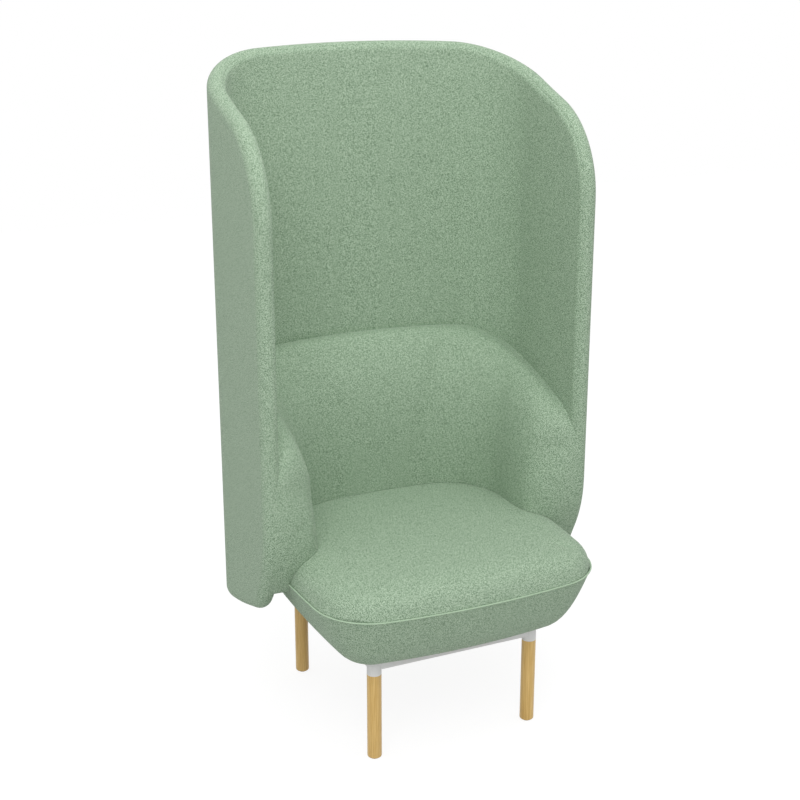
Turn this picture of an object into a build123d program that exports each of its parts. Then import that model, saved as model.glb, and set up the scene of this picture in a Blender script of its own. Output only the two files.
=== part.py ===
from build123d import *
import math
import os

# High back lounge chair with an acoustic screen, in millimetres.
# Origin: on the floor, in the middle of the overall width and depth.
# -Y is the front, +Z is up, and left (-X) and right (+X) are as seen from the front.
# The upholstery's heights are measured from the top of the underframe that carries it.

# ---- overall ----
overall_depth = 680.0
screen_width = 788.0
screen_depth = 440.0

# ---- legs ----
leg_length = 202.0
leg_diameter = 32.0
leg_foot_radius = 4.0
leg_side_inset = 140.7
leg_front_inset = 138.5
leg_rear_inset = 50.5
spigot_length = 24.0
spigot_clearance = 0.3
glide_diameter = 24.0
glide_height = 5.0
glide_stand = 1.5
stud_diameter = 10.0
stud_depth = 40.0

# ---- underframe ----
socket_length = 36.5
socket_wall = 2.0
rail_size = 25.0
rail_wall = 2.0
rail_corner_radius = 3.0
plate_thickness = 4.0
plate_reach = 48.0
plate_corner_radius = 15.0
plate_bolt_offset = 32.0
nut_plate_thickness = 4.0

# ---- screen: a padded U-shaped panel round the back and both sides ----
screen_thickness = 40.0
screen_corner_radius = 177.0
screen_bow_radius = 2085.0
screen_edge_radius = 19.0
# Top edge: upright front, a round shoulder, then a slightly hollow rise to the middle of the back panel.
screen_shoulder_rise = 929.0
screen_shoulder_radius = 217.0
screen_shoulder_turn = 70.5
screen_crest_rise = 1251.5
# Lower edge: corners as distance behind the front edge and rise, the radii that round them, and its end.
screen_low_corners = [(0, 215), (67, 79), (245, 23)]
screen_low_radii = [290, 90, 800]
screen_low_end_rise = 7.0
core_thickness = 12.0
core_edge_margin = 20.0

# ---- seat ----
seat_side_gap = 22.0
seat_rear_gap = 16.0
seat_front_bow = 33.0
seat_rear_bow = 12.0
seat_side_bow = 14.0
seat_widest_y = -60.0
seat_front_radius = 130.0
seat_rear_radius = 118.0
base_height = 141.0
base_edge_radius = 48.0
base_side_draw = 66.0
base_rear_draw = 15.0
cushion_height = 71.0
cushion_edge_radius = 48.0
cushion_taper = 4.0
crown_radius = 4000.0
piping_thickness = 3.0
piping_stand = 2.0
piping_tuck = 8.0
piping_round = 1.4
board_thickness = 15.0
board_margin = 102.0
board_rear_margin = 60.0

# ---- bolster: one pad round the back and the arms ----
bolster_arm_depth = 93.0
bolster_back_depth = 102.0
bolster_corner_radius = 82.0
bolster_rear_bow = 3.0
bolster_roll_radius = 62.0
bolster_wall_radius = 8.0
bolster_inset = 5.0
bolster_tip_slope = 0.4
# Top line of the pad: distance behind the screen's front edge and rise, then distance ahead of its back wall.
bolster_arm_points = [(bolster_inset, 300), (29, 392), (119, 462), (252, 502)]
bolster_back_points = [(62, 543), (-2, 586)]
soft_gap = 0.3

# ---- brackets between the seat board and the back of the screen ----
bracket_width = 40.0
bracket_height = 105.0
bracket_bend = 8.0
bracket_spread = 118.0
bracket_headroom = 13.0
bracket_overlap = 82.0
bracket_holes = [-62.0, -30.0]
bracket_screw_rises = [72.0, 94.0]

# ---- fasteners ----
board_bolt = 8.0
board_bolt_head = 13.0
board_bolt_head_height = 5.3
board_bolt_grip = 15.0
board_nut_barrel = 11.0
board_nut_flange = 22.0
board_nut_short = 2.0
screen_bolt = 6.0
screen_bolt_head = 11.0
screen_bolt_head_height = 3.3
screen_bolt_crown = 2.0
screen_nut_barrel = 8.0
screen_nut_flange = 16.0
screen_nut_short = 1.0
nut_flange_thickness = 1.2
spacer_diameter = 14.0
bolt_play = 0.2

# ---- places worked out from the sizes above ----
leg_shoulder_z = glide_stand + leg_length
frame_top_z = leg_shoulder_z + socket_length
board_low_z = frame_top_z + plate_thickness
board_top_z = board_low_z + board_thickness
seam_z = board_low_z + base_height
seat_top_z = seam_z + cushion_height
bracket_top_z = frame_top_z + bracket_height
bolster_low_z = bracket_top_z + bracket_headroom
screen_back_y = overall_depth / 2
screen_front_y = screen_back_y - screen_depth
wall_x = screen_width / 2 - screen_thickness
bow_centre_y = screen_back_y - screen_bow_radius
seat_width = 2 * (wall_x - seat_side_gap)
seat_front_y = piping_stand - overall_depth / 2
seat_rear_y = screen_back_y - screen_thickness - seat_rear_gap
mid_inset = screen_thickness / 2
core_outer_inset = mid_inset - core_thickness / 2
core_inner_inset = mid_inset + core_thickness / 2
core_depth_from_wall = screen_thickness - core_inner_inset
leg_x = seat_width / 2 - leg_side_inset
leg_front_y = seat_front_y + leg_front_inset
leg_back_y = seat_rear_y - leg_rear_inset
leg_centre_y = (leg_front_y + leg_back_y) / 2
leg_places = {
    "front_left": (-leg_x, leg_front_y),
    "front_right": (leg_x, leg_front_y),
    "back_left": (-leg_x, leg_back_y),
    "back_right": (leg_x, leg_back_y),
}
rail_ends = {
    "front": ("front_left", "front_right"),
    "rear": ("back_left", "back_right"),
    "left": ("front_left", "back_left"),
    "right": ("front_right", "back_right"),
}
far = 2 * (frame_top_z + screen_crest_rise)
# How near counts as level with a face when edges are picked for rounding.
pick_play = 1.0


def inward(value):
    """Direction from a coordinate towards the middle of the underframe."""
    return -math.copysign(1, value)


def between(z_low, z_high, outline):
    """Straight block over an outline, from one height to another."""
    return extrude(Plane.XY.offset(z_low) * outline, z_high - z_low)


def pin(diameter, z_low, z_high, place=(0, 0)):
    """Upright cylinder between two heights."""
    height = z_high - z_low
    return Pos(place[0], place[1], z_low + height / 2) * Cylinder(diameter / 2, height)


# ---------------------------------------------------------------- screen


def bow_y(x, inset):
    """Where the bowed back lies at x, at this depth into the panel."""
    return bow_centre_y + math.sqrt((screen_bow_radius - inset) ** 2 - x**2)


def screen_plan(inset):
    """Everything inside the U of the screen, at this depth into the panel."""
    half = screen_width / 2 - inset
    end_y = bow_y(half, inset)
    open_y = -far
    with BuildSketch() as sketch:
        with BuildLine():
            Polyline((-half, end_y), (-half, open_y), (half, open_y), (half, end_y))
            ThreePointArc((half, end_y), (0, bow_y(0, inset)), (-half, end_y))
        make_face()
        back_corners = [v for v in sketch.vertices() if v.Y > 0]
        fillet(back_corners, screen_corner_radius - inset)
    return sketch.sketch


def screen_side(inset=0.0):
    """Side view of the screen: lower edge, upright front edge and swept top edge."""
    front = (screen_front_y, frame_top_z + screen_shoulder_rise)
    low = [(screen_front_y + back, frame_top_z + rise) for back, rise in screen_low_corners]
    low.append((screen_back_y + screen_thickness, frame_top_z + screen_low_end_rise))
    crest = (screen_back_y - mid_inset, frame_top_z + screen_crest_rise)
    with BuildSketch(Plane.YZ) as sketch:
        with BuildLine():
            FilletPolyline(front, *low, radius=screen_low_radii)
            shoulder = JernArc(front, (0, 1), screen_shoulder_radius, -screen_shoulder_turn)
            rise = TangentArc(shoulder @ 1, crest, tangent=shoulder % 1)
            beyond = rise @ 1 + far * (rise % 1)
            Polyline(rise @ 1, beyond, (beyond.X, low[-1][1]), low[-1])
        make_face()
    side = sketch.sketch
    return offset(side, -inset) if inset else side


def across(side):
    """Block made by drawing a side view through the whole width."""
    return extrude(side, far, both=True)


def screen_layer(outer_inset, inner_inset):
    """Full-height layer of the panel between two depths."""
    return between(0, far, screen_plan(outer_inset)) - between(0, far, screen_plan(inner_inset))


def follows(edge, outline):
    """Whether an edge stands over this plan line for its whole length."""
    spots = [edge.position_at(share) for share in (0.05, 0.35, 0.65, 0.95)]
    return all(outline.distance_to(Vertex(spot.X, spot.Y, 0)) < 0.05 for spot in spots)


def border_edges(solid, plan, front_y):
    """Edges of a solid's border over a plan's outline, without the upright lines within its faces."""
    outline = plan.face().outer_wire()
    border = []
    for edge in solid.edges():
        upright = edge.geom_type == GeomType.LINE and abs(edge.tangent_at(0.5).Z) > 0.99
        within_face = upright and edge.center().Y > front_y + pick_play
        if not within_face and follows(edge, outline):
            border.append(edge)
    return border


def make_screen():
    """Moulded plywood core between an outer and an inner upholstered half."""
    panel = screen_layer(0, screen_thickness) & across(screen_side())
    rim = border_edges(panel, screen_plan(0), screen_front_y)
    rim += border_edges(panel, screen_plan(screen_thickness), screen_front_y)
    panel = fillet(rim, screen_edge_radius)
    core = screen_layer(core_outer_inset, core_inner_inset) & across(screen_side(core_edge_margin))
    middle = between(0, far, screen_plan(mid_inset))
    outer = (panel - middle) - core
    inner = (panel & middle) - core
    return core, outer, inner


# ---------------------------------------------------------------- seat


def seat_outline(grow=0.0, rear_grow=None):
    """Plan of the seat with gently bowed sides; its rear edge can move by an amount of its own."""
    if rear_grow is None:
        rear_grow = grow
    half = seat_width / 2 + grow
    front_x = half - seat_side_bow
    front_y = seat_front_y - grow
    rear_y = seat_rear_y + rear_grow
    rear_x = half - seat_rear_bow
    corner_y = front_y + seat_front_bow
    end_y = rear_y - seat_rear_bow
    with BuildSketch() as sketch:
        with BuildLine():
            ThreePointArc((-front_x, corner_y), (0, front_y), (front_x, corner_y))
            ThreePointArc((front_x, corner_y), (half, seat_widest_y), (rear_x, end_y))
            ThreePointArc((rear_x, end_y), (0, rear_y), (-rear_x, end_y))
            ThreePointArc((-rear_x, end_y), (-half, seat_widest_y), (-front_x, corner_y))
        make_face()
        fillet([v for v in sketch.vertices() if v.Y < 0], seat_front_radius + grow)
        fillet([v for v in sketch.vertices() if v.Y > 0], seat_rear_radius + grow)
    return sketch.sketch


def cushion_form(grow=0.0):
    """Crowned cushion with drawn-in sides above the seam."""
    start_z = seam_z - grow
    rise = seat_top_z - seam_z + 2 * cushion_edge_radius
    block = extrude(Plane.XY.offset(start_z) * seat_outline(grow), rise, taper=cushion_taper)
    crown = Pos(0, 0, seat_top_z + grow - crown_radius) * Sphere(crown_radius)
    form = block & crown
    shoulder = [
        edge
        for edge in form.edges()
        if edge.center().Z > start_z + pick_play and abs(edge.tangent_at(0.5).Z) < 0.5
    ]
    return fillet(shoulder, cushion_edge_radius)


def base_form():
    """Upholstered pan that draws in below the seam, most at the front and sides, to a round edge."""
    seam = Plane.XY.offset(seam_z) * seat_outline()
    bottom = Plane.XY.offset(board_low_z) * seat_outline(-base_side_draw, -base_rear_draw)
    form = loft([bottom.face(), seam.face()], ruled=True)
    low_edges = [edge for edge in form.edges() if edge.center().Z < board_low_z + pick_play]
    return fillet(low_edges, base_edge_radius)


def make_piping():
    """Raised seam that is sewn in between the cushion and the pan."""
    low = seam_z - piping_thickness / 2
    high = seam_z + piping_thickness / 2
    ring = between(low, high, seat_outline(piping_stand)) - between(low, high, seat_outline(-piping_tuck))
    level_faces = ring.faces().filter_by(Axis.Z)
    outside = [edge for face in level_faces for edge in face.outer_wire().edges()]
    return fillet(outside, piping_round)


def make_cushion(piping):
    return cushion_form() - piping


def make_base(piping):
    """Padded pan with a pocket for the board and the flanges of its tee nuts."""
    base = base_form() - piping - board_blank()
    for place in board_bolt_places():
        base = base - pin(board_nut_flange, board_top_z, board_top_z + nut_flange_thickness, place)
    return base


# ---------------------------------------------------------------- bolster


def bolster_plan():
    """Plan of the free space inside the pad, with a softly rounded corner at each side."""
    half = wall_x - bolster_arm_depth
    rear_y = bow_y(0, screen_thickness) - bolster_back_depth
    end_y = rear_y - bolster_rear_bow
    with BuildSketch() as sketch:
        with BuildLine():
            Polyline((-half, end_y), (-half, -far), (half, -far), (half, end_y))
            ThreePointArc((half, end_y), (0, rear_y), (-half, end_y))
        make_face()
        fillet([v for v in sketch.vertices() if v.Y > 0], bolster_corner_radius)
    return sketch.sketch


def bolster_side():
    """Side view of the pad: it falls from the back towards the front of the arms."""
    wall_y = screen_back_y - screen_thickness
    top = [(screen_front_y + back, frame_top_z + rise) for back, rise in bolster_arm_points]
    top += [(wall_y - ahead, frame_top_z + rise) for ahead, rise in bolster_back_points]
    with BuildSketch(Plane.YZ) as sketch:
        with BuildLine():
            Spline(*top, tangents=[(0, 1), (1, bolster_tip_slope)])
            Polyline(
                top[-1],
                (far, top[-1][1]),
                (far, bolster_low_z),
                (top[0][0], bolster_low_z),
                top[0],
            )
        make_face()
    return sketch.sketch


def pad_edges(pad, plan):
    """Edges of the pad's front and top along one side of its plan."""
    border = border_edges(pad, plan, screen_front_y + bolster_inset)
    return [edge for edge in border if edge.center().Z > bolster_low_z + pick_play]


def seat_clearance():
    """Room that the pad leaves for the cushion, the pan and the raised seam."""
    pan = between(board_low_z, seam_z, seat_outline(soft_gap))
    seam_half = piping_thickness / 2 + soft_gap
    seam = between(seam_z - seam_half, seam_z + seam_half, seat_outline(piping_stand + soft_gap))
    return pan + cushion_form(soft_gap) + seam


def make_bolster():
    wall = screen_plan(screen_thickness + soft_gap)
    room = bolster_plan()
    pad = between(0, far, wall) - between(0, far, room)
    pad = pad & across(bolster_side()) & across(screen_side(bolster_inset))
    pad = fillet(pad_edges(pad, room), bolster_roll_radius)
    pad = fillet(pad_edges(pad, wall), bolster_wall_radius)
    return pad - seat_clearance()


# ---------------------------------------------------------------- underframe


def rail_run(side, shrink=0.0):
    """Solid square bar from one leg axis to the next; shrink draws its faces in."""
    start, end = (leg_places[corner] for corner in rail_ends[side])
    centre_z = frame_top_z - rail_size / 2
    first = Vector(start[0], start[1], centre_z)
    span = Vector(end[0], end[1], centre_z) - first
    size = rail_size - 2 * shrink
    section = RectangleRounded(size, size, rail_corner_radius - shrink)
    return extrude(Plane(first, z_dir=span) * section, span.length)


def make_rail(side):
    """Square tube, coped to its two sockets; the side rails butt against the other two."""
    rail = rail_run(side) - rail_run(side, rail_wall)
    for corner in rail_ends[side]:
        rail = rail - pin(leg_diameter, 0, far, leg_places[corner])
    if side in ("left", "right"):
        rail = rail - rail_run("front") - rail_run("rear")
    return rail


def make_socket(place):
    bore = leg_diameter - 2 * socket_wall
    tube = pin(leg_diameter, leg_shoulder_z, frame_top_z, place)
    return tube - pin(bore, leg_shoulder_z, frame_top_z, place)


def bolt_place(place):
    """Where the board bolt of a corner plate stands, diagonally inward of the leg."""
    x, y = place
    return (
        x + inward(x) * plate_bolt_offset,
        y + inward(y - leg_centre_y) * plate_bolt_offset,
    )


def make_corner_plate(place):
    """Plate that closes the socket and carries the seat board."""
    x, y = place
    size = plate_reach + leg_diameter / 2
    shift = size / 2 - leg_diameter / 2
    centre = Pos(x + inward(x) * shift, y + inward(y - leg_centre_y) * shift)
    outline = centre * RectangleRounded(size, size, plate_corner_radius)
    plate = between(frame_top_z, board_low_z, outline)
    return plate - pin(board_bolt + bolt_play, frame_top_z, board_low_z, bolt_place(place))


def make_nut_plate(place):
    """Threaded disc welded inside a socket, right under its corner plate."""
    low = frame_top_z - nut_plate_thickness
    disc = pin(leg_diameter - 2 * socket_wall, low, frame_top_z, place)
    return disc - pin(stud_diameter, low, frame_top_z, place)


def make_stud(place):
    low = leg_shoulder_z - stud_depth
    return pin(stud_diameter, low, frame_top_z, place)


def make_leg(place):
    """Turned leg with a spigot that fills the socket and a pocket for the glide."""
    body = pin(leg_diameter, glide_stand, leg_shoulder_z)
    foot = body.edges().sort_by(Axis.Z)[0]
    body = fillet(foot, leg_foot_radius)
    spigot = leg_diameter - 2 * socket_wall - spigot_clearance
    spigot_top = leg_shoulder_z + spigot_length
    leg = body + pin(spigot, leg_shoulder_z, spigot_top)
    leg = leg - pin(glide_diameter, 0, glide_height)
    leg = leg - pin(stud_diameter, leg_shoulder_z - stud_depth, spigot_top)
    return Pos(place[0], place[1], 0) * leg


def make_glide(place):
    glide = pin(glide_diameter, 0, glide_height)
    return Pos(place[0], place[1], 0) * chamfer(glide.edges().sort_by(Axis.Z)[0], glide_stand / 2)


# ---------------------------------------------------------------- brackets and fasteners


def bracket_frames():
    """Each bracket's frame, X out to the bowed back and Z up, with its reach, inner end and holes."""
    wall_radius = screen_bow_radius - screen_thickness
    reach = math.sqrt(wall_radius**2 - (bracket_width / 2) ** 2)
    frames = {}
    for side, shift in (("left", -bracket_spread), ("right", bracket_spread), ("rear", 0.0)):
        turn = math.asin(shift / wall_radius)
        rail = (leg_back_y - bow_centre_y) / math.cos(turn)
        frame = Pos(0, bow_centre_y) * Rot(0, 0, 90 - math.degrees(turn))
        frames[side] = (frame, reach, rail - bracket_overlap, [rail + hole for hole in bracket_holes])
    return frames


def make_bracket(frame, reach, start, holes):
    """Bent steel strap from under the seat board up the inside of the screen's back."""
    with BuildSketch(Plane.XZ) as sketch:
        with BuildLine():
            path = FilletPolyline(
                (start, frame_top_z),
                (reach, frame_top_z),
                (reach, bracket_top_z),
                radius=bracket_bend,
            )
            offset(path, plate_thickness, side=Side.LEFT)
        make_face()
    strap = extrude(sketch.sketch, bracket_width / 2, both=True)
    for x in holes:
        strap = strap - pin(board_bolt + bolt_play, 0, board_low_z, (x, 0))
    for rise in bracket_screw_rises:
        place = Pos(reach, 0, frame_top_z + rise) * Rot(0, 90, 0)
        strap = strap - place * Cylinder((screen_bolt + bolt_play) / 2, 4 * plate_thickness)
    return frame * strap


def board_bolt_places():
    """Four bolts at the corner plates and two at each bracket."""
    places = [bolt_place(place) for place in leg_places.values()]
    for frame, _, _, holes in bracket_frames().values():
        for x in holes:
            spot = (frame * Pos(x, 0, 0)).position
            places.append((spot.X, spot.Y))
    return places


def board_blank():
    return between(board_low_z, board_top_z, seat_outline(-board_margin, -board_rear_margin))


def make_board():
    board = board_blank()
    for place in board_bolt_places():
        board = board - pin(board_nut_barrel, board_low_z, board_top_z, place)
    return board


def make_board_nut(place):
    """Tee nut pressed into the board from above."""
    flange_z = board_top_z + nut_flange_thickness
    barrel = pin(board_nut_barrel, board_low_z + board_nut_short, board_top_z, place)
    flange = pin(board_nut_flange, board_top_z, flange_z, place)
    return barrel + flange - pin(board_bolt + bolt_play, board_low_z, flange_z, place)


def make_board_bolt(place):
    """Hexagon-head bolt from below."""
    head = between(
        frame_top_z - board_bolt_head_height,
        frame_top_z,
        RegularPolygon(board_bolt_head / 2, 6, major_radius=False),
    )
    shank = pin(board_bolt, frame_top_z, frame_top_z + board_bolt_grip)
    return Pos(place[0], place[1], 0) * (head + shank)


def wall_places():
    """Each screw through the screen, as a plane whose Z axis runs out through the wall."""
    places = []
    for frame, reach, _, _ in bracket_frames().values():
        for rise in bracket_screw_rises:
            places.append(frame * Pos(reach, 0, frame_top_z + rise) * Rot(0, 90, 0))
    return places


def make_spacer(place):
    """Steel bush that carries the clamping force through the padding to the core."""
    length = core_depth_from_wall - bolt_play / 2
    bush = Pos(0, 0, length / 2) * Cylinder(spacer_diameter / 2, length)
    bore = Pos(0, 0, length / 2) * Cylinder((screen_bolt + bolt_play) / 2, length)
    return place * (bush - bore)


def make_screen_nut(place):
    """Tee nut pressed into the core from the outside."""
    face = core_depth_from_wall + core_thickness
    length = core_thickness - screen_nut_short
    barrel = Pos(0, 0, face - length / 2) * Cylinder(screen_nut_barrel / 2, length)
    flange = Pos(0, 0, face + nut_flange_thickness / 2) * Cylinder(
        screen_nut_flange / 2, nut_flange_thickness
    )
    bore = Pos(0, 0, face) * Cylinder((screen_bolt + bolt_play) / 2, 4 * core_thickness)
    return place * (barrel + flange - bore)


def make_screen_bolt(place):
    """Button-head screw from the bracket into the core."""
    tip = core_depth_from_wall + core_thickness
    start = -plate_thickness
    length = tip - start
    shank = Pos(0, 0, start + length / 2) * Cylinder(screen_bolt / 2, length)
    head = Pos(0, 0, start - screen_bolt_head_height / 2) * Cylinder(
        screen_bolt_head / 2, screen_bolt_head_height
    )
    head = fillet(head.edges().sort_by(Axis.Z)[0], screen_bolt_crown)
    return place * (shank + head)


def drill_screen(core, outer, inner):
    """Holes for the bushes and tee nuts in the three layers of the screen."""
    depth = core_depth_from_wall
    for place in wall_places():
        nut_hole = Pos(0, 0, depth + core_thickness / 2) * Cylinder(
            screen_nut_barrel / 2, 2 * core_thickness
        )
        bush_hole = Pos(0, 0, depth / 2) * Cylinder(spacer_diameter / 2, depth + 1)
        recess = Pos(0, 0, depth + core_thickness + nut_flange_thickness / 2) * Cylinder(
            screen_nut_flange / 2 + bolt_play, nut_flange_thickness
        )
        core = core - place * nut_hole - place * recess
        inner = inner - place * bush_hole
        outer = outer - place * recess
    return core, outer, inner


# ---------------------------------------------------------------- the whole chair


def save(name, *solids):
    """Write one node; several like pieces stay separate solids in it."""
    shape = solids[0] if len(solids) == 1 else Compound(children=list(solids))
    export_step(shape, f"parts/{name}.step")


def main():
    os.makedirs("parts", exist_ok=True)

    core, outer, inner = drill_screen(*make_screen())
    save("screen_core", core)
    save("screen_outer", outer)
    save("screen_inner", inner)
    save("bolster", make_bolster())

    piping = make_piping()
    save("seat_piping", piping)
    save("seat_cushion", make_cushion(piping))
    save("seat_base", make_base(piping))
    save("seat_board", make_board())
    save("board_nuts", *[make_board_nut(place) for place in board_bolt_places()])
    save("board_bolts", *[make_board_bolt(place) for place in board_bolt_places()])

    for side in rail_ends:
        save(f"rail_{side}", make_rail(side))

    for corner, place in leg_places.items():
        save(f"socket_{corner}", make_socket(place))
        save(f"corner_plate_{corner}", make_corner_plate(place))
        save(f"leg_{corner}", make_leg(place))
        save(f"glide_{corner}", make_glide(place))
    save("nut_plates", *[make_nut_plate(place) for place in leg_places.values()])
    save("leg_studs", *[make_stud(place) for place in leg_places.values()])

    for side, frame in bracket_frames().items():
        save(f"bracket_{side}", make_bracket(*frame))
    save("screen_spacers", *[make_spacer(place) for place in wall_places()])
    save("screen_bolts", *[make_screen_bolt(place) for place in wall_places()])
    save("screen_nuts", *[make_screen_nut(place) for place in wall_places()])


main()
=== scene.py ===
# %% [markdown]
# # A high back lounge chair with an acoustic screen
# The chair is a tall padded panel bent into a U round the sitter, a soft bolster along its inside,
# a seat of two sewn halves, and a small steel frame on turned wooden legs. The hard parts come
# ready from the CAD frame and only get their finish here. Everything upholstered is modelled in
# this script, because a cover is round, sewn and woven in ways that a solid model leaves out.

# %% Load the frame
import math
import bmesh
import bpy
import numpy as np
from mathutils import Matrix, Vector


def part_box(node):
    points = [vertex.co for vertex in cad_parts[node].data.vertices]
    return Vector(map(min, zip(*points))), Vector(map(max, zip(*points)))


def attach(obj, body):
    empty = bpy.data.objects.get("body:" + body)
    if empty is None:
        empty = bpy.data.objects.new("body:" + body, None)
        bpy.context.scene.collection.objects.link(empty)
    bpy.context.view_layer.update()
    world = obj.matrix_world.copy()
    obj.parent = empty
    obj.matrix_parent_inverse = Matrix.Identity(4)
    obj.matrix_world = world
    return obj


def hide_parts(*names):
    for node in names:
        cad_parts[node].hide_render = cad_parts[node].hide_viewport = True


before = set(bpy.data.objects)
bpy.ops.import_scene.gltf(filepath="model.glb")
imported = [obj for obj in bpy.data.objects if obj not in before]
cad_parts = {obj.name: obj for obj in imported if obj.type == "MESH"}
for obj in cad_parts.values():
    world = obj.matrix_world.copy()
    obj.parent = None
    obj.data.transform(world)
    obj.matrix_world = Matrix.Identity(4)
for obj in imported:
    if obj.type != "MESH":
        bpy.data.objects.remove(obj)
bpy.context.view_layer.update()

# %% [markdown]
# ## Sizes
# Places are read from the frame's own boxes, so the covers stay on the parts that carry them.
# Only what a box can't tell, such as a radius or the corner of an edge line, is written here.
# Heights of the upholstery are counted from the top of the underframe, which carries it.

# %% Sizes from the frame
MM = 0.001

panel_low, panel_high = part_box("screen_outer")
piping_low, piping_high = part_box("seat_piping")
panel_thickness = 2 * (panel_high.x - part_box("screen_inner")[1].x)
seam_z = (piping_low.z + piping_high.z) / 2
frame_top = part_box("rail_front")[1].z
board_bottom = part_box("seat_board")[0].z
leg_centre_y = (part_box("leg_front_left")[0].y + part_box("leg_back_right")[1].y) / 2
print("panel", round(panel_thickness / MM, 1), "mm thick; seam at", round(seam_z / MM, 1), "mm")

# %% [markdown]
# ## Camera
# The camera stands in front of the chair's left side, a little above it. A long lens keeps the
# uprights nearly parallel, as product pictures have them. Its place is given the way a
# photographer would: how far round, how far up, how far away, and what it looks at.

# %% Camera
camera_azimuth = math.radians(-25.06)
camera_elevation = math.radians(17.97)
camera_distance = 3.2138
camera_target = Vector((-0.0286, leg_centre_y, 0.7362))

camera = bpy.data.objects.new("camera", bpy.data.cameras.new("camera"))
bpy.context.scene.collection.objects.link(camera)
away = Vector((
    math.sin(camera_azimuth) * math.cos(camera_elevation),
    -math.cos(camera_azimuth) * math.cos(camera_elevation),
    math.sin(camera_elevation),
))
camera.location = camera_target + camera_distance * away
camera.rotation_euler = away.to_track_quat("Z", "Y").to_euler()
camera.data.sensor_width = 36.0
camera.data.lens = 65.33
bpy.context.scene.camera = camera
print("camera at", [round(value, 3) for value in camera.location])

# %% [markdown]
# ## Helpers for materials
# Colours are written as the hex values that a colour picker shows, and one function turns them
# into the linear light that the renderer adds up. Another starts a material with an empty node
# tree. The third adds a node, sets it up and wires its inputs, so that each material below reads
# as a short list of nodes. The same could be wired by hand in the shader editor, but a list can
# be read, compared and changed.

# %% Colour and node helpers


def linear(hex_colour):
    """An sRGB hex colour as linear red, green and blue, and full alpha."""
    shares = [int(hex_colour[at : at + 2], 16) / 255 for at in (0, 2, 4)]
    light = [s / 12.92 if s <= 0.04045 else ((s + 0.055) / 1.055) ** 2.4 for s in shares]
    return (*light, 1.0)


def add(tree, kind, inputs=None, **settings):
    """Add a node, set its options, and set or link its inputs."""
    node = tree.nodes.new(kind)
    for name, value in settings.items():
        setattr(node, name, value)
    for name, value in (inputs or {}).items():
        if isinstance(value, bpy.types.NodeSocket):
            tree.links.new(value, node.inputs[name])
        else:
            node.inputs[name].default_value = value
    return node


def new_material(name):
    """A material that has no nodes yet, and its node tree."""
    material = bpy.data.materials.new(name)
    material.use_nodes = True
    material.node_tree.nodes.clear()
    return material, material.node_tree


# %% [markdown]
# ## Wool cloth
# The cover is a woven wool blend, dyed before spinning, so pale and dark fibres lie side by side
# in each thread. From a step away that reads as fine speckles, not as a plain green. A photograph
# of cloth could be laid on, but it would repeat and stretch. So the speckles are noise in the
# object's own space, which runs over seams as it is. Real threads are about 1.6 mm apart, and a
# pixel of this picture is about 2 mm wide. The fibres are much finer, so the speckles are drawn
# coarser than they are, one or two threads wide, and the thread pattern only shapes the bump.
# Wool scatters light in its fuzz, hence a high roughness and a little sheen.

# %% Wool cloth
thread_spacing = 1.6 * MM
speckle_size = 1.7 * MM
tuft_size = 1.3 * MM
tone_contrast = 2.0
weave_share = 0.35


def wool_cloth(name, dark, middle, pale, speckle_strength=1.0):
    """Melange wool: speckles of three tones and a plain weave in the bump."""
    material, tree = new_material(name)
    place = add(tree, "ShaderNodeTexCoord")
    speckle = add(tree, "ShaderNodeTexNoise", {
        "Vector": place.outputs["Object"], "Scale": 1 / speckle_size,
        "Detail": 3.0, "Roughness": 0.65, "Distortion": 0.9,
    })
    tuft = add(tree, "ShaderNodeTexNoise", {
        "Vector": place.outputs["Object"], "Scale": 1 / tuft_size, "Detail": 1.0,
    })
    mixed = add(tree, "ShaderNodeMath", {
        0: speckle.outputs["Fac"], 1: tuft.outputs["Fac"],
    }, operation="ADD")
    centred = add(tree, "ShaderNodeMath", {0: mixed.outputs[0], 1: 1.0}, operation="SUBTRACT")
    spread = add(tree, "ShaderNodeMath", {
        0: centred.outputs[0], 1: tone_contrast * speckle_strength, 2: 0.5,
    }, operation="MULTIPLY_ADD")
    tones = add(tree, "ShaderNodeValToRGB", {"Fac": spread.outputs[0]})
    tones.color_ramp.elements[0].position = 0.22
    tones.color_ramp.elements[0].color = linear(dark)
    tones.color_ramp.elements[1].position = 0.80
    tones.color_ramp.elements[1].color = linear(pale)
    centre = tones.color_ramp.elements.new(0.48)
    centre.color = linear(middle)

    split = add(tree, "ShaderNodeSeparateXYZ", {"Vector": place.outputs["UV"]})
    waves = []
    for axis in ("X", "Y"):
        thread_angle = add(tree, "ShaderNodeMath", {
            0: split.outputs[axis], 1: math.pi / thread_spacing,
        }, operation="MULTIPLY")
        waves.append(add(tree, "ShaderNodeMath", {0: thread_angle.outputs[0]}, operation="SINE"))
    weave = add(tree, "ShaderNodeMath", {
        0: waves[0].outputs[0], 1: waves[1].outputs[0],
    }, operation="MULTIPLY")
    raised = add(tree, "ShaderNodeMath", {
        0: weave.outputs[0], 1: weave_share, 2: speckle.outputs["Fac"],
    }, operation="MULTIPLY_ADD")
    bump = add(tree, "ShaderNodeBump", {
        "Height": raised.outputs[0], "Strength": 0.55, "Distance": 0.5 * MM,
    })
    shader = add(tree, "ShaderNodeBsdfPrincipled", {
        "Base Color": tones.outputs["Color"], "Normal": bump.outputs["Normal"],
        "Roughness": 0.95, "Sheen Weight": 0.12, "Sheen Roughness": 0.5,
        "Specular IOR Level": 0.2,
    })
    add(tree, "ShaderNodeOutputMaterial", {"Surface": shader.outputs[0]})
    return material


sage_wool = wool_cloth("sage_wool_cloth", "5C765D", "97AE94", "BCD0B8")
# The cord's tones are paler than the cover's: a painted highlight along the seam.
painted_highlight_cord = wool_cloth("sage_wool_cord_painted_highlight", "97B194", "ACC5A8", "C0D4BC", speckle_strength=0.5)
print("wool cloth: threads", thread_spacing / MM, "mm, speckles", speckle_size / MM, "mm")

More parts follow.
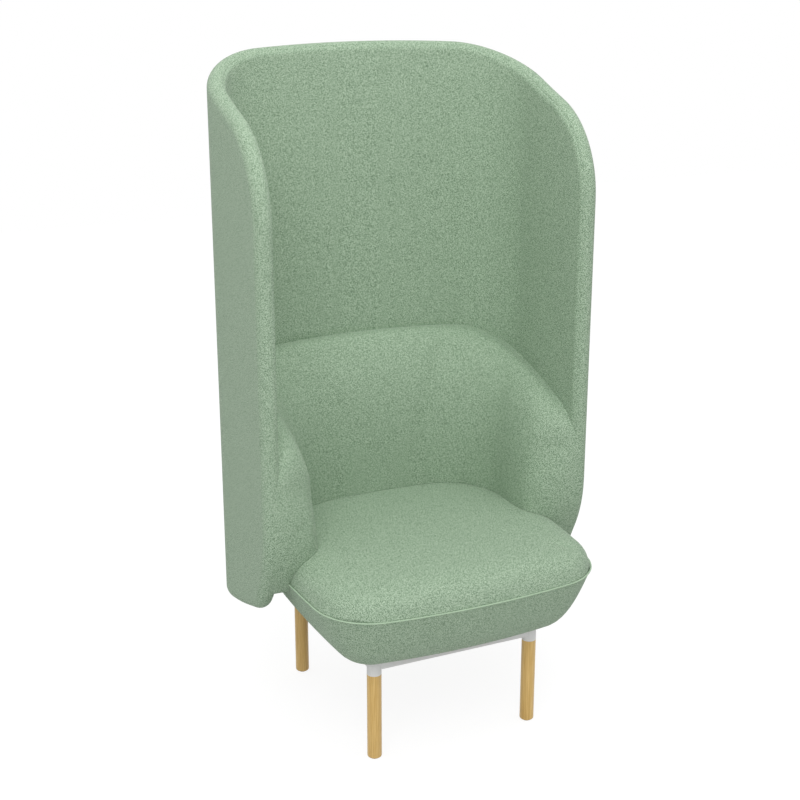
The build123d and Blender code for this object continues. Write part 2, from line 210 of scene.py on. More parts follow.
# %% [markdown]
# ## Wood, steel and the small parts
# The legs are turned from straight-grained beech and lacquered satin: long, thin grain along the
# leg and a soft gloss. The underframe is powder-coated, which leaves a fine orange-peel skin. The
# brackets and screws are zinc-plated, the seat board and the panel's core are birch plywood with
# its plies showing at the edge, and the glides are moulded nylon. Each finish is one noise or wave
# of a real size in millimetres, because these parts are small and show no more than that. Beech
# pores and the grain of the nylon's mould are too fine to show, so both are drawn coarser.

# %% Turned beech
grain_width = 1.1 * MM
grain_length = 60 * MM
figure_across, figure_along = 0.12, 0.3
figure_share = 0.6


def lacquered_beech():
    """Straight grain over a broad, faint figure along the leg, under a satin lacquer."""
    material, tree = new_material("lacquered_beech")
    place = add(tree, "ShaderNodeTexCoord")
    along = add(tree, "ShaderNodeMapping", {
        "Vector": place.outputs["Object"],
        "Scale": (1 / grain_width, 1 / grain_width, 1 / grain_length),
    })
    grain = add(tree, "ShaderNodeTexNoise", {
        "Vector": along.outputs[0], "Scale": 1.0, "Detail": 4.0, "Roughness": 0.6,
    })
    broad = add(tree, "ShaderNodeMapping", {
        "Vector": place.outputs["Object"],
        "Scale": (
            figure_across / grain_width, figure_across / grain_width, figure_along / grain_length,
        ),
    })
    figure = add(tree, "ShaderNodeTexNoise", {
        "Vector": broad.outputs[0], "Scale": 1.0, "Detail": 2.0,
    })
    both = add(tree, "ShaderNodeMath", {
        0: figure.outputs["Fac"], 1: figure_share, 2: grain.outputs["Fac"],
    }, operation="MULTIPLY_ADD")
    tones = add(tree, "ShaderNodeValToRGB", {"Fac": both.outputs[0]})
    tones.color_ramp.elements[0].position = 0.62
    tones.color_ramp.elements[0].color = linear("C9A052")
    tones.color_ramp.elements[1].position = 0.95
    tones.color_ramp.elements[1].color = linear("E6C27A")
    bump = add(tree, "ShaderNodeBump", {
        "Height": grain.outputs["Fac"], "Strength": 0.15, "Distance": 0.2 * MM,
    })
    shader = add(tree, "ShaderNodeBsdfPrincipled", {
        "Base Color": tones.outputs["Color"], "Normal": bump.outputs["Normal"],
        "Roughness": 0.42, "Coat Weight": 0.25, "Coat Roughness": 0.3,
    })
    add(tree, "ShaderNodeOutputMaterial", {"Surface": shader.outputs[0]})
    return material


beech = lacquered_beech()

# %% Powder-coated steel, zinc plate, plywood and nylon
peel_size = 1.5 * MM
cloud_size = 12 * MM
ply_thickness = 1.4 * MM
wave_period = 0.314  # the wave texture's own distance from band to band, at a scale of 1
mould_grain_size = 0.5 * MM


def powder_coated_steel():
    """White polyester powder: even colour over a fine orange-peel skin."""
    material, tree = new_material("white_powder_coat")
    place = add(tree, "ShaderNodeTexCoord")
    peel = add(tree, "ShaderNodeTexNoise", {
        "Vector": place.outputs["Object"], "Scale": 1 / peel_size, "Detail": 2.0,
    })
    bump = add(tree, "ShaderNodeBump", {
        "Height": peel.outputs["Fac"], "Strength": 0.2, "Distance": 0.1 * MM,
    })
    shader = add(tree, "ShaderNodeBsdfPrincipled", {
        "Base Color": linear("E2E2E1"), "Normal": bump.outputs["Normal"], "Roughness": 0.45,
    })
    add(tree, "ShaderNodeOutputMaterial", {"Surface": shader.outputs[0]})
    return material


def zinc_plate():
    """Bright zinc on steel, a little cloudy from the bath."""
    material, tree = new_material("zinc_plated_steel")
    place = add(tree, "ShaderNodeTexCoord")
    cloud = add(tree, "ShaderNodeTexNoise", {
        "Vector": place.outputs["Object"], "Scale": 1 / cloud_size, "Detail": 3.0,
    })
    shine = add(tree, "ShaderNodeMapRange", {
        "Value": cloud.outputs["Fac"], "To Min": 0.28, "To Max": 0.46,
    })
    shader = add(tree, "ShaderNodeBsdfPrincipled", {
        "Base Color": linear("B4B6B8"), "Metallic": 1.0, "Roughness": shine.outputs["Result"],
    })
    add(tree, "ShaderNodeOutputMaterial", {"Surface": shader.outputs[0]})
    return material


def birch_plywood():
    """Plies that alternate through the thickness, under a pale face veneer."""
    material, tree = new_material("birch_plywood")
    place = add(tree, "ShaderNodeTexCoord")
    plies = add(tree, "ShaderNodeTexWave", {
        "Vector": place.outputs["Object"], "Scale": wave_period / (2 * ply_thickness),
        "Distortion": 0.4, "Detail": 2.0,
    }, bands_direction="Z")
    tones = add(tree, "ShaderNodeValToRGB", {"Fac": plies.outputs["Fac"]})
    tones.color_ramp.elements[0].color = linear("B99866")
    tones.color_ramp.elements[1].color = linear("DCC498")
    shader = add(tree, "ShaderNodeBsdfPrincipled", {
        "Base Color": tones.outputs["Color"], "Roughness": 0.6,
    })
    add(tree, "ShaderNodeOutputMaterial", {"Surface": shader.outputs[0]})
    return material


def moulded_nylon():
    """Dark nylon with the fine spark-eroded grain of its mould."""
    material, tree = new_material("moulded_nylon")
    place = add(tree, "ShaderNodeTexCoord")
    mould_grain = add(tree, "ShaderNodeTexNoise", {
        "Vector": place.outputs["Object"], "Scale": 1 / mould_grain_size, "Detail": 1.0,
    })
    bump = add(tree, "ShaderNodeBump", {
        "Height": mould_grain.outputs["Fac"], "Strength": 0.3, "Distance": 0.05 * MM,
    })
    shader = add(tree, "ShaderNodeBsdfPrincipled", {
        "Base Color": linear("3A3A3A"), "Normal": bump.outputs["Normal"], "Roughness": 0.55,
    })
    add(tree, "ShaderNodeOutputMaterial", {"Surface": shader.outputs[0]})
    return material


powder_coat = powder_coated_steel()
zinc = zinc_plate()
plywood = birch_plywood()
nylon = moulded_nylon()

# %% Finishes for the parts that stay from the frame
finishes = {
    "leg": beech,
    "glide": nylon,
    "rail": powder_coat,
    "socket": powder_coat,
    "corner": powder_coat,
    "nut": powder_coat,
    "bracket": zinc,
    "bolts": zinc,
    "nuts": zinc,
    "studs": zinc,
    "spacers": zinc,
    "core": plywood,
    "board": plywood,
}


def finish_for(node_name):
    """The finish of a hard part, by the last word of its name that has one, then by the first."""
    words = node_name.split("_")
    if words[-1] in finishes:
        return finishes[words[-1]]
    return finishes.get(words[0])


for node_name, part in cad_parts.items():
    finish = finish_for(node_name)
    if finish:
        part.data.materials.clear()
        part.data.materials.append(finish)
print("finished", sum(1 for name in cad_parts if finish_for(name)), "hard parts")

# %% [markdown]
# ## Lines that the covers follow
# Two kinds of line shape this chair. Seen from the side, the edges of the panel and of the bolster
# are straight runs with rounded corners, so one function walks along such a line and rounds it
# with arcs. Seen from above, the wall and the bolster's face are a U with bowed back, made of two
# straight arms, two rounded corners and a shallow arc. Curve objects could draw both, but lines
# kept as arrays of points can be measured and laid on each other.

# %% Rounded lines
front_crowding = 1.5


def rounded_line(corners, radii, arc_points=24):
    """Points along a line through corners, where each inner corner is rounded by its radius."""
    corners = [np.array(corner, float) for corner in corners]
    points = [corners[0]]
    for before, corner, after, radius in zip(corners, corners[1:], corners[2:], radii):
        back = (before - corner) / np.linalg.norm(before - corner)
        ahead = (after - corner) / np.linalg.norm(after - corner)
        half_angle = math.acos(np.clip(back @ ahead, -1, 1)) / 2
        bisector = (back + ahead) / np.linalg.norm(back + ahead)
        centre = corner + bisector * radius / math.sin(half_angle)
        start = corner + back * radius / math.tan(half_angle) - centre
        end = corner + ahead * radius / math.tan(half_angle) - centre
        turn = math.pi - 2 * half_angle
        for share in np.linspace(0, 1, arc_points):
            mix = math.sin((1 - share) * turn) * start + math.sin(share * turn) * end
            points.append(centre + mix / math.sin(turn))
    points.append(corners[-1])
    return np.array(points)


def u_line(half_width, back_y, bow_radius, corner_radius, front_y, counts):
    """Points of a U seen from above, from left front to right front, with inward normals.

    The points stand closer together towards the front, where the rims and the nose are.
    """
    arm_count, corner_count, back_count = counts
    bow_centre = back_y - bow_radius
    turn_x = half_width - corner_radius
    turn_y = bow_centre + math.sqrt((bow_radius - corner_radius) ** 2 - turn_x**2)
    bow_start = math.atan2(turn_y - bow_centre, turn_x)
    points, normals = [], []
    for share in np.linspace(0, 1, arm_count, endpoint=False) ** front_crowding:
        points.append((half_width, front_y + share * (turn_y - front_y)))
        normals.append((-1.0, 0.0))
    for share in np.linspace(0, 1, corner_count, endpoint=False):
        angle = share * bow_start
        across, along = math.cos(angle), math.sin(angle)
        points.append((turn_x + corner_radius * across, turn_y + corner_radius * along))
        normals.append((-across, -along))
    for share in np.linspace(0, 1, back_count):
        angle = bow_start + share * (math.pi / 2 - bow_start)
        across, along = math.cos(angle), math.sin(angle)
        points.append((bow_radius * across, bow_centre + bow_radius * along))
        normals.append((-across, -along))
    halves = [np.array(points), np.array(normals)]
    return [np.vstack([half[:-1] * (-1, 1), half[::-1]]) for half in halves]


def run_lengths(points):
    """Distance along a line of points, counted from its middle."""
    steps = np.linalg.norm(np.diff(points, axis=0), axis=1)
    runs = np.concatenate([[0], np.cumsum(steps)])
    return runs - runs[-1] / 2


# %% Edge lines of the panel, as distance behind the front edge and height
shoulder_rise = 929 * MM
shoulder_radius = 217 * MM
shoulder_turn = math.radians(70.5)
hollow_radius = 2634 * MM
low_corners = [(0, 300), (0, 215), (67, 79), (245, 23), (480, 7)]
low_radii = [290, 90, 800]

shoulder_reach = shoulder_radius * (1 - math.cos(shoulder_turn))
shoulder_top = frame_top + shoulder_rise + shoulder_radius * math.sin(shoulder_turn)
hollow_angle = math.pi / 2 - shoulder_turn


def panel_top(behind):
    """Height of the panel's top edge at this distance behind its front edge."""
    behind = np.asarray(behind, float)
    inside = np.clip(shoulder_radius**2 - (shoulder_radius - behind) ** 2, 0, None)
    on_shoulder = frame_top + shoulder_rise + np.sqrt(inside)
    centre = shoulder_reach - hollow_radius * math.sin(hollow_angle)
    centre_z = shoulder_top + hollow_radius * math.cos(hollow_angle)
    on_rise = centre_z - np.sqrt(hollow_radius**2 - (behind - centre) ** 2)
    return np.where(behind < shoulder_reach, on_shoulder, on_rise)


low_line = rounded_line(np.array(low_corners) * MM, np.array(low_radii) * MM)


def panel_bottom(behind):
    """Height of the panel's lower edge at this distance behind its front edge."""
    rising = low_line[np.argmax(low_line[:, 0] > 0) - 1 :]
    return frame_top + np.interp(behind, rising[:, 0], rising[:, 1])


panel_ends = [0, panel_high.y - panel_low.y - panel_thickness / 2]
print("top edge at front and back:", np.round(panel_top(panel_ends) / MM), "mm")

# %% [markdown]
# ## Padded plates
# The panel and the bolster are both padded plates: a flat pattern with a rounded rim, bent round
# the U. Thickness and bevel modifiers could round such a plate, but they can't change the depth
# from place to place. So one function lays out the pattern. It draws a grid between the lower and
# the upper edge line, and runs the rim's section along the whole border. The pattern stays flat
# until a bending function places it, and the flat coordinates become the cloth's own UV map in
# metres, so the weave has the same size everywhere.

# %% Plate pattern


def closed_normals(loop):
    """Inward normals of a closed line that runs anticlockwise."""
    ahead = np.roll(loop, -1, axis=0) - loop
    behind = loop - np.roll(loop, 1, axis=0)
    ahead /= np.linalg.norm(ahead, axis=1)[:, None]
    behind /= np.linalg.norm(behind, axis=1)[:, None]
    tangent = ahead + behind
    tangent /= np.linalg.norm(tangent, axis=1)[:, None]
    return np.stack([-tangent[:, 1], tangent[:, 0]], axis=1)


def border_loop(low, top, rows):
    """The border as one anticlockwise line: lower edge, right front, upper edge, left front."""
    shares = np.linspace(0, 1, rows + 1)[1:-1, None]
    right = low[-1] * (1 - shares) + top[-1] * shares
    left = top[0] * (1 - shares) + low[0] * shares
    return np.vstack([low, right, top[::-1], left])


def rim_rows(border, inset, depth):
    """Rim section along the border: lines of (run, rise, depth), and their cloth coordinates."""
    normals = closed_normals(border)
    face_border = border + normals * inset[-1]
    lengths = np.concatenate([[0], np.cumsum(np.hypot(np.diff(inset), np.diff(depth)))])
    to_face = lengths[-1] - lengths
    rows, cloth = [], []
    for step, push, reach in zip(inset, depth, to_face):
        line = border + normals * step
        rows.append(np.column_stack([line, np.full(len(line), push)]))
        cloth.append(face_border - normals * reach)
    return np.array(rows), np.array(cloth)


def face_grid(face_border, columns, rows, depth):
    """Grid inside the rim, from the lower to the upper edge."""
    low = face_border[:columns]
    top = face_border[columns + rows - 1 : 2 * columns + rows - 1][::-1]
    shares = np.linspace(0, 1, rows + 1)
    grid = low[None] * (1 - shares)[:, None, None] + top[None] * shares[:, None, None]
    return np.dstack([grid, np.full(grid.shape[:2], depth)])


def border_indices(columns, rows):
    """The grid points that lie on its border, in the order of border_loop."""
    index = np.arange((rows + 1) * columns).reshape(rows + 1, columns)
    return np.concatenate([index[0], index[1:-1, -1], index[-1, ::-1], index[-2:0:-1, 0]])


def stitched(lines):
    """Faces between closed lines of point numbers, from each line to the next."""
    faces = []
    for outer, inner in zip(lines, lines[1:]):
        for at in range(len(outer)):
            after = (at + 1) % len(outer)
            faces.append((outer[at], outer[after], inner[after], inner[at]))
    return faces


def grid_and_rings(grid, rings, ring_cloth):
    """A grid of squares with rings round it, of which the last one is the grid's own border."""
    rows, columns = grid.shape[0] - 1, grid.shape[1]
    faces = [
        (r * columns + c, r * columns + c + 1, (r + 1) * columns + c + 1, (r + 1) * columns + c)
        for r in range(rows)
        for c in range(columns - 1)
    ]
    size = rings.shape[1]
    lines = [(rows + 1) * columns + at * size + np.arange(size) for at in range(len(rings) - 1)]
    faces += stitched(lines + [border_indices(columns, rows)])
    points = np.vstack([grid.reshape(-1, 3), rings[:-1].reshape(-1, 3)])
    cloth = np.vstack([grid[..., :2].reshape(-1, 2), ring_cloth[:-1].reshape(-1, 2)])
    return points, cloth, faces


def plate_mesh(low, top, rows, inset, depth):
    """Points, cloth coordinates and faces of one side of a plate: its face and its rim."""
    border = border_loop(low, top, rows)
    rim, rim_cloth = rim_rows(border, inset, depth)
    grid = face_grid(rim[-1][:, :2], len(low), rows, depth[-1])
    return grid_and_rings(grid, rim, rim_cloth)


def turned(mesh):
    """The same points with every face turned round."""
    points, cloth, faces = mesh
    return points, cloth, [face[::-1] for face in faces]


# %% Mesh helper


def new_piece(name, points, faces, cloth, material, flip=False):
    """A smooth mesh object from points and faces, with its cloth coordinates as the UV map."""
    mesh = bpy.data.meshes.new(name)
    faces = [tuple(int(at) for at in face) for face in faces]
    if flip:
        faces = [face[::-1] for face in faces]
    mesh.from_pydata([tuple(point) for point in points], [], faces)
    uv_map = mesh.uv_layers.new(name="cloth")
    corners = np.zeros(len(mesh.loops), int)
    mesh.loops.foreach_get("vertex_index", corners)
    uv_map.data.foreach_set("uv", np.asarray(cloth, np.float32)[corners].ravel())
    mesh.polygons.foreach_set("use_smooth", [True] * len(mesh.polygons))
    mesh.materials.append(material)
    mesh.update()
    piece = bpy.data.objects.new(name, mesh)
    bpy.context.scene.collection.objects.link(piece)
    return piece


def join_meshes(*meshes):
    """Several (points, cloth, faces) as one."""
    points, cloth, faces, start = [], [], [], 0
    for some_points, some_cloth, some_faces in meshes:
        points.append(some_points)
        cloth.append(some_cloth)
        faces += [tuple(at + start for at in face) for face in some_faces]
        start += len(some_points)
    return np.vstack(points), np.vstack(cloth), faces


# %% [markdown]
# ## The screen
# On the real chair two layers of foam lie on a bent plywood core. The outer cover wraps the edge
# and is sewn to the inner cover along the inside of the rim. One closed skin with a painted line
# would look like it from afar. Two covers that share the plate's border stand for their own foam,
# and the seam is a real dip where they meet.

# %% Screen covers
panel_bow_radius = 2085 * MM
panel_corner_radius = 177 * MM
half_thickness = panel_thickness / 2
seam_angle = math.radians(38)
seam_dip = 1.2 * MM
seam_width = 2 * MM
screen_rows = 44
screen_counts = (40, 18, 16)  # points along an arm, round a corner and along half the back

middle_line, middle_normals = u_line(
    panel_high.x - half_thickness,
    panel_high.y - half_thickness,
    panel_bow_radius - half_thickness,
    panel_corner_radius - half_thickness,
    panel_low.y,
    screen_counts,
)
middle_runs = run_lengths(middle_line)


def bend_round_screen(pattern):
    """Place (run, rise, depth) on the screen: depth is counted inwards from its middle."""
    place = [np.interp(pattern[:, 0], middle_runs, middle_line[:, axis]) for axis in (0, 1)]
    normal = [np.interp(pattern[:, 0], middle_runs, middle_normals[:, axis]) for axis in (0, 1)]
    length = np.hypot(*normal)
    x = place[0] + normal[0] / length * pattern[:, 2]
    y = place[1] + normal[1] / length * pattern[:, 2]
    return np.column_stack([x, y, pattern[:, 1]])


def edge_chains():
    """Lower and upper edge line of the flat pattern."""
    behind = middle_line[:, 1] - panel_low.y
    low = np.column_stack([middle_runs, panel_bottom(behind)])
    top = np.column_stack([middle_runs, panel_top(behind)])
    return low, top


def rim_section(start_angle, end_angle, count):
    """Part of the half-round rim, from the seam to a face, as inset and depth."""
    angles = np.linspace(start_angle, end_angle, count)
    from_seam = np.abs(angles - start_angle) * half_thickness
    dip = seam_dip * np.exp(-((from_seam / seam_width) ** 2))
    reach = half_thickness - dip
    return half_thickness - reach * np.sin(angles), reach * np.cos(angles)


low_chain, top_chain = edge_chains()
inner_inset, inner_depth = rim_section(seam_angle, 0.0, count=8)
outer_inset, outer_depth = rim_section(seam_angle, math.pi, count=20)

for name, inset, depth, node, flip in (
    ("screen_inner_cover", inner_inset, inner_depth, "screen_inner", True),
    ("screen_outer_cover", outer_inset, outer_depth, "screen_outer", False),
):
    pattern, cloth, faces = plate_mesh(low_chain, top_chain, screen_rows, inset, depth)
    cover = new_piece(name, bend_round_screen(pattern), faces, cloth, sage_wool, flip)
    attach(cover, "root")
    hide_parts(node)
    print(name, len(faces), "faces")

# %% [markdown]
# ## The seat outline
# Seen from above, the seat is a rounded square whose four sides bow out a little. Each side is an
# arc through three points, and each corner is the circle of its radius that touches both arcs from
# inside. A subdivided square would come close, but worked out like this the line is the one that
# the solid seat has. The sewn seam, the cushion above it and the pan below it all start from it.

# %% Seat outline
seam_stand = 2 * MM
seat_half = piping_high.x - seam_stand
seat_front = piping_low.y + seam_stand
seat_rear = piping_high.y - seam_stand
front_bow = 33 * MM
rear_bow = 12 * MM
side_bow = 14 * MM
widest_y = -60 * MM
front_corner = 130 * MM
rear_corner = 118 * MM
end_count, side_count, corner_count = 20, 34, 16
seat_end_points = end_count + corner_count
seat_side_points = side_count + corner_count


def circle_through(a, b, c):
    """Centre and radius of the circle through three points."""
    a, b, c = (np.array(point, float) for point in (a, b, c))
    rows = np.array([b - a, c - a])
    centre = np.linalg.solve(2 * rows, [b @ b - a @ a, c @ c - a @ a])
    return centre, np.linalg.norm(a - centre)


def corner_circle(first, second, radius, near):
    """Centre of the circle of this radius inside two circles, at the corner near a point."""
    (a, a_radius), (b, b_radius) = first, second
    a_reach, b_reach = a_radius - radius, b_radius - radius
    gap = np.linalg.norm(b - a)
    along = (a_reach**2 - b_reach**2 + gap**2) / (2 * gap)
    aside = math.sqrt(a_reach**2 - along**2)
    way = (b - a) / gap
    choices = [a + along * way + side * aside * np.array([-way[1], way[0]]) for side in (-1, 1)]
    return min(choices, key=lambda centre: np.linalg.norm(centre - near))


def on_circle(centre, radius, towards):
    """The point of a circle that lies towards another point."""
    way = towards - centre
    return centre + way / np.linalg.norm(way) * radius


def arc(centre, radius, start, end, count):
    """Points of an arc between the directions of two points, without the last one."""
    angles = [math.atan2(*(np.array(point) - centre)[::-1]) for point in (start, end)]
    turn = (angles[1] - angles[0] + math.pi) % (2 * math.pi) - math.pi
    sweep = angles[0] + turn * np.linspace(0, 1, count, endpoint=False)
    x, y = centre
    return np.column_stack([x + radius * np.cos(sweep), y + radius * np.sin(sweep)])


def seat_loop():
    """The seat's outline, anticlockwise from the middle of the front left corner."""
    front_point = np.array([seat_half - side_bow, seat_front + front_bow])
    rear_point = np.array([seat_half - rear_bow, seat_rear - rear_bow])
    mirror = np.array([-1, 1])
    front = circle_through(front_point * mirror, (0, seat_front), front_point)
    rear = circle_through(rear_point * mirror, (0, seat_rear), rear_point)
    side = circle_through(front_point, (seat_half, widest_y), rear_point)
    front_centre = corner_circle(front, side, front_corner, front_point)
    rear_centre = corner_circle(side, rear, rear_corner, rear_point)
    front_touch, side_touch = on_circle(*front, front_centre), on_circle(*side, front_centre)
    side_end, rear_touch = on_circle(*side, rear_centre), on_circle(*rear, rear_centre)
    front_middle = on_circle(front_centre, front_corner, front_point)
    rear_middle = on_circle(rear_centre, rear_corner, rear_point)
    half_end, half_corner = end_count // 2, corner_count // 2
    right = np.vstack([
        arc(*front, (0, seat_front), front_touch, half_end),
        arc(front_centre, front_corner, front_touch, front_middle, half_corner),
        arc(front_centre, front_corner, front_middle, side_touch, half_corner),
        arc(*side, side_touch, side_end, side_count),
        arc(rear_centre, rear_corner, side_end, rear_middle, half_corner),
        arc(rear_centre, rear_corner, rear_middle, rear_touch, half_corner),
        arc(*rear, rear_touch, (0, seat_rear), half_end),
        [(0, seat_rear)],
    ])
    loop = np.vstack([right, right[-2:0:-1] * mirror])
    return np.roll(loop, half_end + half_corner, axis=0)


outline = seat_loop()
outline_normals = closed_normals(outline)
print("seat outline:", len(outline), "points,", np.round(np.ptp(outline, axis=0) / MM, 1), "mm")

# %% [markdown]
# ## Cushion and pan
# Both halves of the seat are closed forms built from the outline inwards: rings follow the rounded
# side, and a grid of squares fills what is left in the middle. A fan of triangles would be
# easier, but its point shows as a pinch in the middle of a soft surface.

# %% Ring and grid forms
cushion_swell = 5 * MM
top_swell = 0.8 * cushion_swell  # what the padding adds at the crown
cushion_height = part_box("seat_cushion")[1].z - seam_z - top_swell
crown_radius = 4000 * MM
shoulder = 48 * MM
seam_gap = 1.0 * MM
tuck_inset, fold_inset, side_inset = 6 * MM, 1.5 * MM, 0.4 * MM
tuck_rise = 0.6 * MM


def crown_z(x, y):
    """Height of the crowned top, before its edge is rounded off."""
    return seam_z + cushion_height - (x**2 + y**2) / (2 * crown_radius)


def fill_grid(ring, ends, sides):
    """Grid of points inside a closed ring of four sides, blended from its border."""
    corners = [ring[0], ring[ends], ring[ends + sides], ring[2 * ends + sides]]
    front = ring[: ends + 1]
    right = ring[ends : ends + sides + 1]
    rear = ring[ends + sides : 2 * ends + sides + 1][::-1]
    left = np.vstack([ring[2 * ends + sides :], ring[:1]])[::-1]
    across = np.linspace(0, 1, ends + 1)[None, :, None]
    along = np.linspace(0, 1, sides + 1)[:, None, None]
    blend_y = (1 - along) * front[None] + along * rear[None]
    blend_x = (1 - across) * left[:, None] + across * right[:, None]
    flat = (1 - along) * ((1 - across) * corners[0] + across * corners[1])
    flat = flat + along * ((1 - across) * corners[3] + across * corners[2])
    return blend_y + blend_x - flat


def all_round(value):
    """The same value at every point of the outline."""
    return np.full(len(outline), value)


def rings_from_profile(insets, heights):
    """Rings at these insets from the seam, each with its height, and their cloth coordinates."""
    lengths = [all_round(0.0)]
    for at in range(1, len(insets)):
        step = np.hypot(insets[at] - insets[at - 1], heights[at] - heights[at - 1])
        lengths.append(lengths[-1] + step)
    base_line = outline + outline_normals * insets[-1][:, None]
    rings, cloth = [], []
    for inset, height, length in zip(insets, heights, lengths):
        line = outline + outline_normals * inset[:, None]
        rings.append(np.column_stack([line, height]))
        cloth.append(base_line - outline_normals * (lengths[-1] - length)[:, None])
    return np.array(rings), np.array(cloth)


def hidden_lid(ring):
    """A flat grid that closes a form where no one sees it."""
    rings = np.array([ring, ring])
    grid = fill_grid(ring, seat_end_points, seat_side_points)
    return grid_and_rings(grid, rings, rings[..., :2])


# %% Seat cushion
side_draw = math.tan(math.radians(4))
fold_height = 2 * MM
shoulder_end = shoulder + 2 * MM
top_insets = (60 * MM, 72 * MM, 84 * MM)
merge_distance = 0.01 * MM


def cushion_profile():
    """Insets and heights from the seam up over the shoulder to the grid's border."""
    shoulder_line = outline + outline_normals * shoulder_end
    rim_z = crown_z(shoulder_line[:, 0], shoulder_line[:, 1])
    foot_z = seam_z + seam_gap
    insets = [all_round(inset) for inset in (tuck_inset, fold_inset, side_inset)]
    heights = [all_round(z) for z in (foot_z - tuck_rise, foot_z, foot_z + fold_height)]
    straight = (rim_z - shoulder) - foot_z
    for angle in np.radians(range(0, 91, 9)):
        insets.append(straight * side_draw + shoulder * (1 - math.cos(angle)))
        heights.append(rim_z - shoulder + shoulder * math.sin(angle))
    for inset in top_insets:
        line = outline + outline_normals * inset
        insets.append(all_round(inset))
        heights.append(crown_z(line[:, 0], line[:, 1]))
    return insets, heights


def closed_cushion():
    """The upper half of the seat, closed underneath."""
    rings, cloth = rings_from_profile(*cushion_profile())
    grid = fill_grid(rings[-1], seat_end_points, seat_side_points)
    grid[..., 2] = crown_z(grid[..., 0], grid[..., 1])
    return join_meshes(grid_and_rings(grid, rings, cloth), turned(hidden_lid(rings[0])))


def weld(piece):
    """Merge the points of a piece that lie on each other, and turn all faces outwards."""
    sculpt = bmesh.new()
    sculpt.from_mesh(piece.data)
    bmesh.ops.remove_doubles(sculpt, verts=sculpt.verts, dist=merge_distance)
    bmesh.ops.recalc_face_normals(sculpt, faces=sculpt.faces)
    if sculpt.calc_volume(signed=True) < 0:
        bmesh.ops.reverse_faces(sculpt, faces=sculpt.faces)
    litres = round(sculpt.calc_volume() * 1000, 2)
    open_edges = sum(1 for edge in sculpt.edges if len(edge.link_faces) != 2)
    print(piece.name, "volume", litres, "litres,", open_edges, "open edges")
    sculpt.to_mesh(piece.data)
    sculpt.free()
    return piece


points, cloth, faces = closed_cushion()
cushion = weld(new_piece("seat_cushion_cover", points, faces, cloth, sage_wool))

# %% [markdown]
# A cushion gets its shape from the foam that presses its cover out against the seams. The swelling
# could be sculpted by hand, but each bulge would be a guess. Blender's cloth does what foam does:
# the sewn rows are held, a light pressure works from inside without gravity, and the cover moves
# until its own stiffness stops it. How far a point may go is capped softly, so the cushion keeps
# its measured size.

# %% Swell a cover
sewn_height = 3 * MM
hardly_moved = 1e-9  # keeps the division below from meeting a zero


def puff(piece, held_points, pressure, most, frames=20):
    """Press a closed cover out with cloth simulation, and keep the held points in place."""
    scene = bpy.context.scene
    before = np.zeros(3 * len(piece.data.vertices))
    piece.data.vertices.foreach_get("co", before)
    sewn_down = piece.vertex_groups.new(name="sewn_down")
    sewn_down.add([int(at) for at in held_points], 1.0, "REPLACE")
    padding = piece.modifiers.new("padding", "CLOTH")
    padding.settings.vertex_group_mass = sewn_down.name
    padding.settings.use_pressure = True
    padding.settings.uniform_pressure_force = pressure
    padding.settings.effector_weights.gravity = 0
    padding.point_cache.frame_end = frames
    for frame_number in range(1, frames + 1):
        scene.frame_set(frame_number)
    graph = bpy.context.evaluated_depsgraph_get()
    result = bpy.data.meshes.new_from_object(piece.evaluated_get(graph))
    after = np.zeros_like(before)
    result.vertices.foreach_get("co", after)
    bpy.data.meshes.remove(result)
    piece.modifiers.clear()
    piece.vertex_groups.clear()
    scene.frame_set(1)
    step = (after - before).reshape(-1, 3)
    length = np.linalg.norm(step, axis=1)[:, None] + hardly_moved
    capped = step / length * most * np.tanh(length / most)
    piece.data.vertices.foreach_set("co", before + capped.ravel())
    piece.data.update()
    furthest = np.linalg.norm(capped, axis=1).max()
    print(piece.name, "swelled by up to", round(float(furthest) / MM, 1), "mm")


cushion_sewn = [v.index for v in cushion.data.vertices if v.co.z < seam_z + sewn_height]
puff(cushion, cushion_sewn, pressure=4.0, most=cushion_swell)
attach(cushion, "root")
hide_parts("seat_cushion")
print("cushion cover:", len(faces), "faces")

# %% Seat pan
pan_side_draw = 107 * MM
pan_rear_draw = 60 * MM
fall_fullness, width_fullness = 0.95, 2.4
first_angle, pan_rows = 0.12, 17


def pan_profile():
    """Insets and heights from the seam to the flat bottom, which draws in less at the rear."""
    rearward = np.clip(-outline_normals[:, 1], 0, 1) ** 2
    draw = pan_side_draw * (1 - rearward) + pan_rear_draw * rearward
    pan_top = seam_z - seam_gap
    insets = [all_round(tuck_inset), all_round(fold_inset)]
    heights = [all_round(pan_top + tuck_rise), all_round(pan_top)]
    for angle in np.linspace(first_angle, math.pi / 2, pan_rows):
        fall = math.sin(angle) ** (2 / fall_fullness)
        width = math.cos(angle) ** (2 / width_fullness)
        insets.append(side_inset + draw * (1 - width))
        heights.append(all_round(pan_top - (pan_top - board_bottom) * fall))
    return insets, heights


def closed_pan():
    """The lower half of the seat, closed by a hidden top."""
    rings, cloth = rings_from_profile(*pan_profile())
    grid = fill_grid(rings[-1], seat_end_points, seat_side_points)
    return join_meshes(turned(grid_and_rings(grid, rings, cloth)), hidden_lid(rings[0]))


points, cloth, faces = closed_pan()
pan = weld(new_piece("seat_pan_cover", points, faces, cloth, sage_wool))
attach(pan, "root")
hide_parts("seat_base")
print("pan cover:", len(faces), "faces")

# %% [markdown]
# ## The sewn cord
# The two halves are sewn together over a thin cord in the same wool. Its tones are painted paler,
# a painted highlight for the light line along the seam. A bevelled curve could draw it, but then
# its thread pattern would need coordinates of another kind. So it is a round section swept along
# the outline, half sunk between the covers, where it catches the light as one fine line.

# %% Seam cord
cord_radius = 1.8 * MM


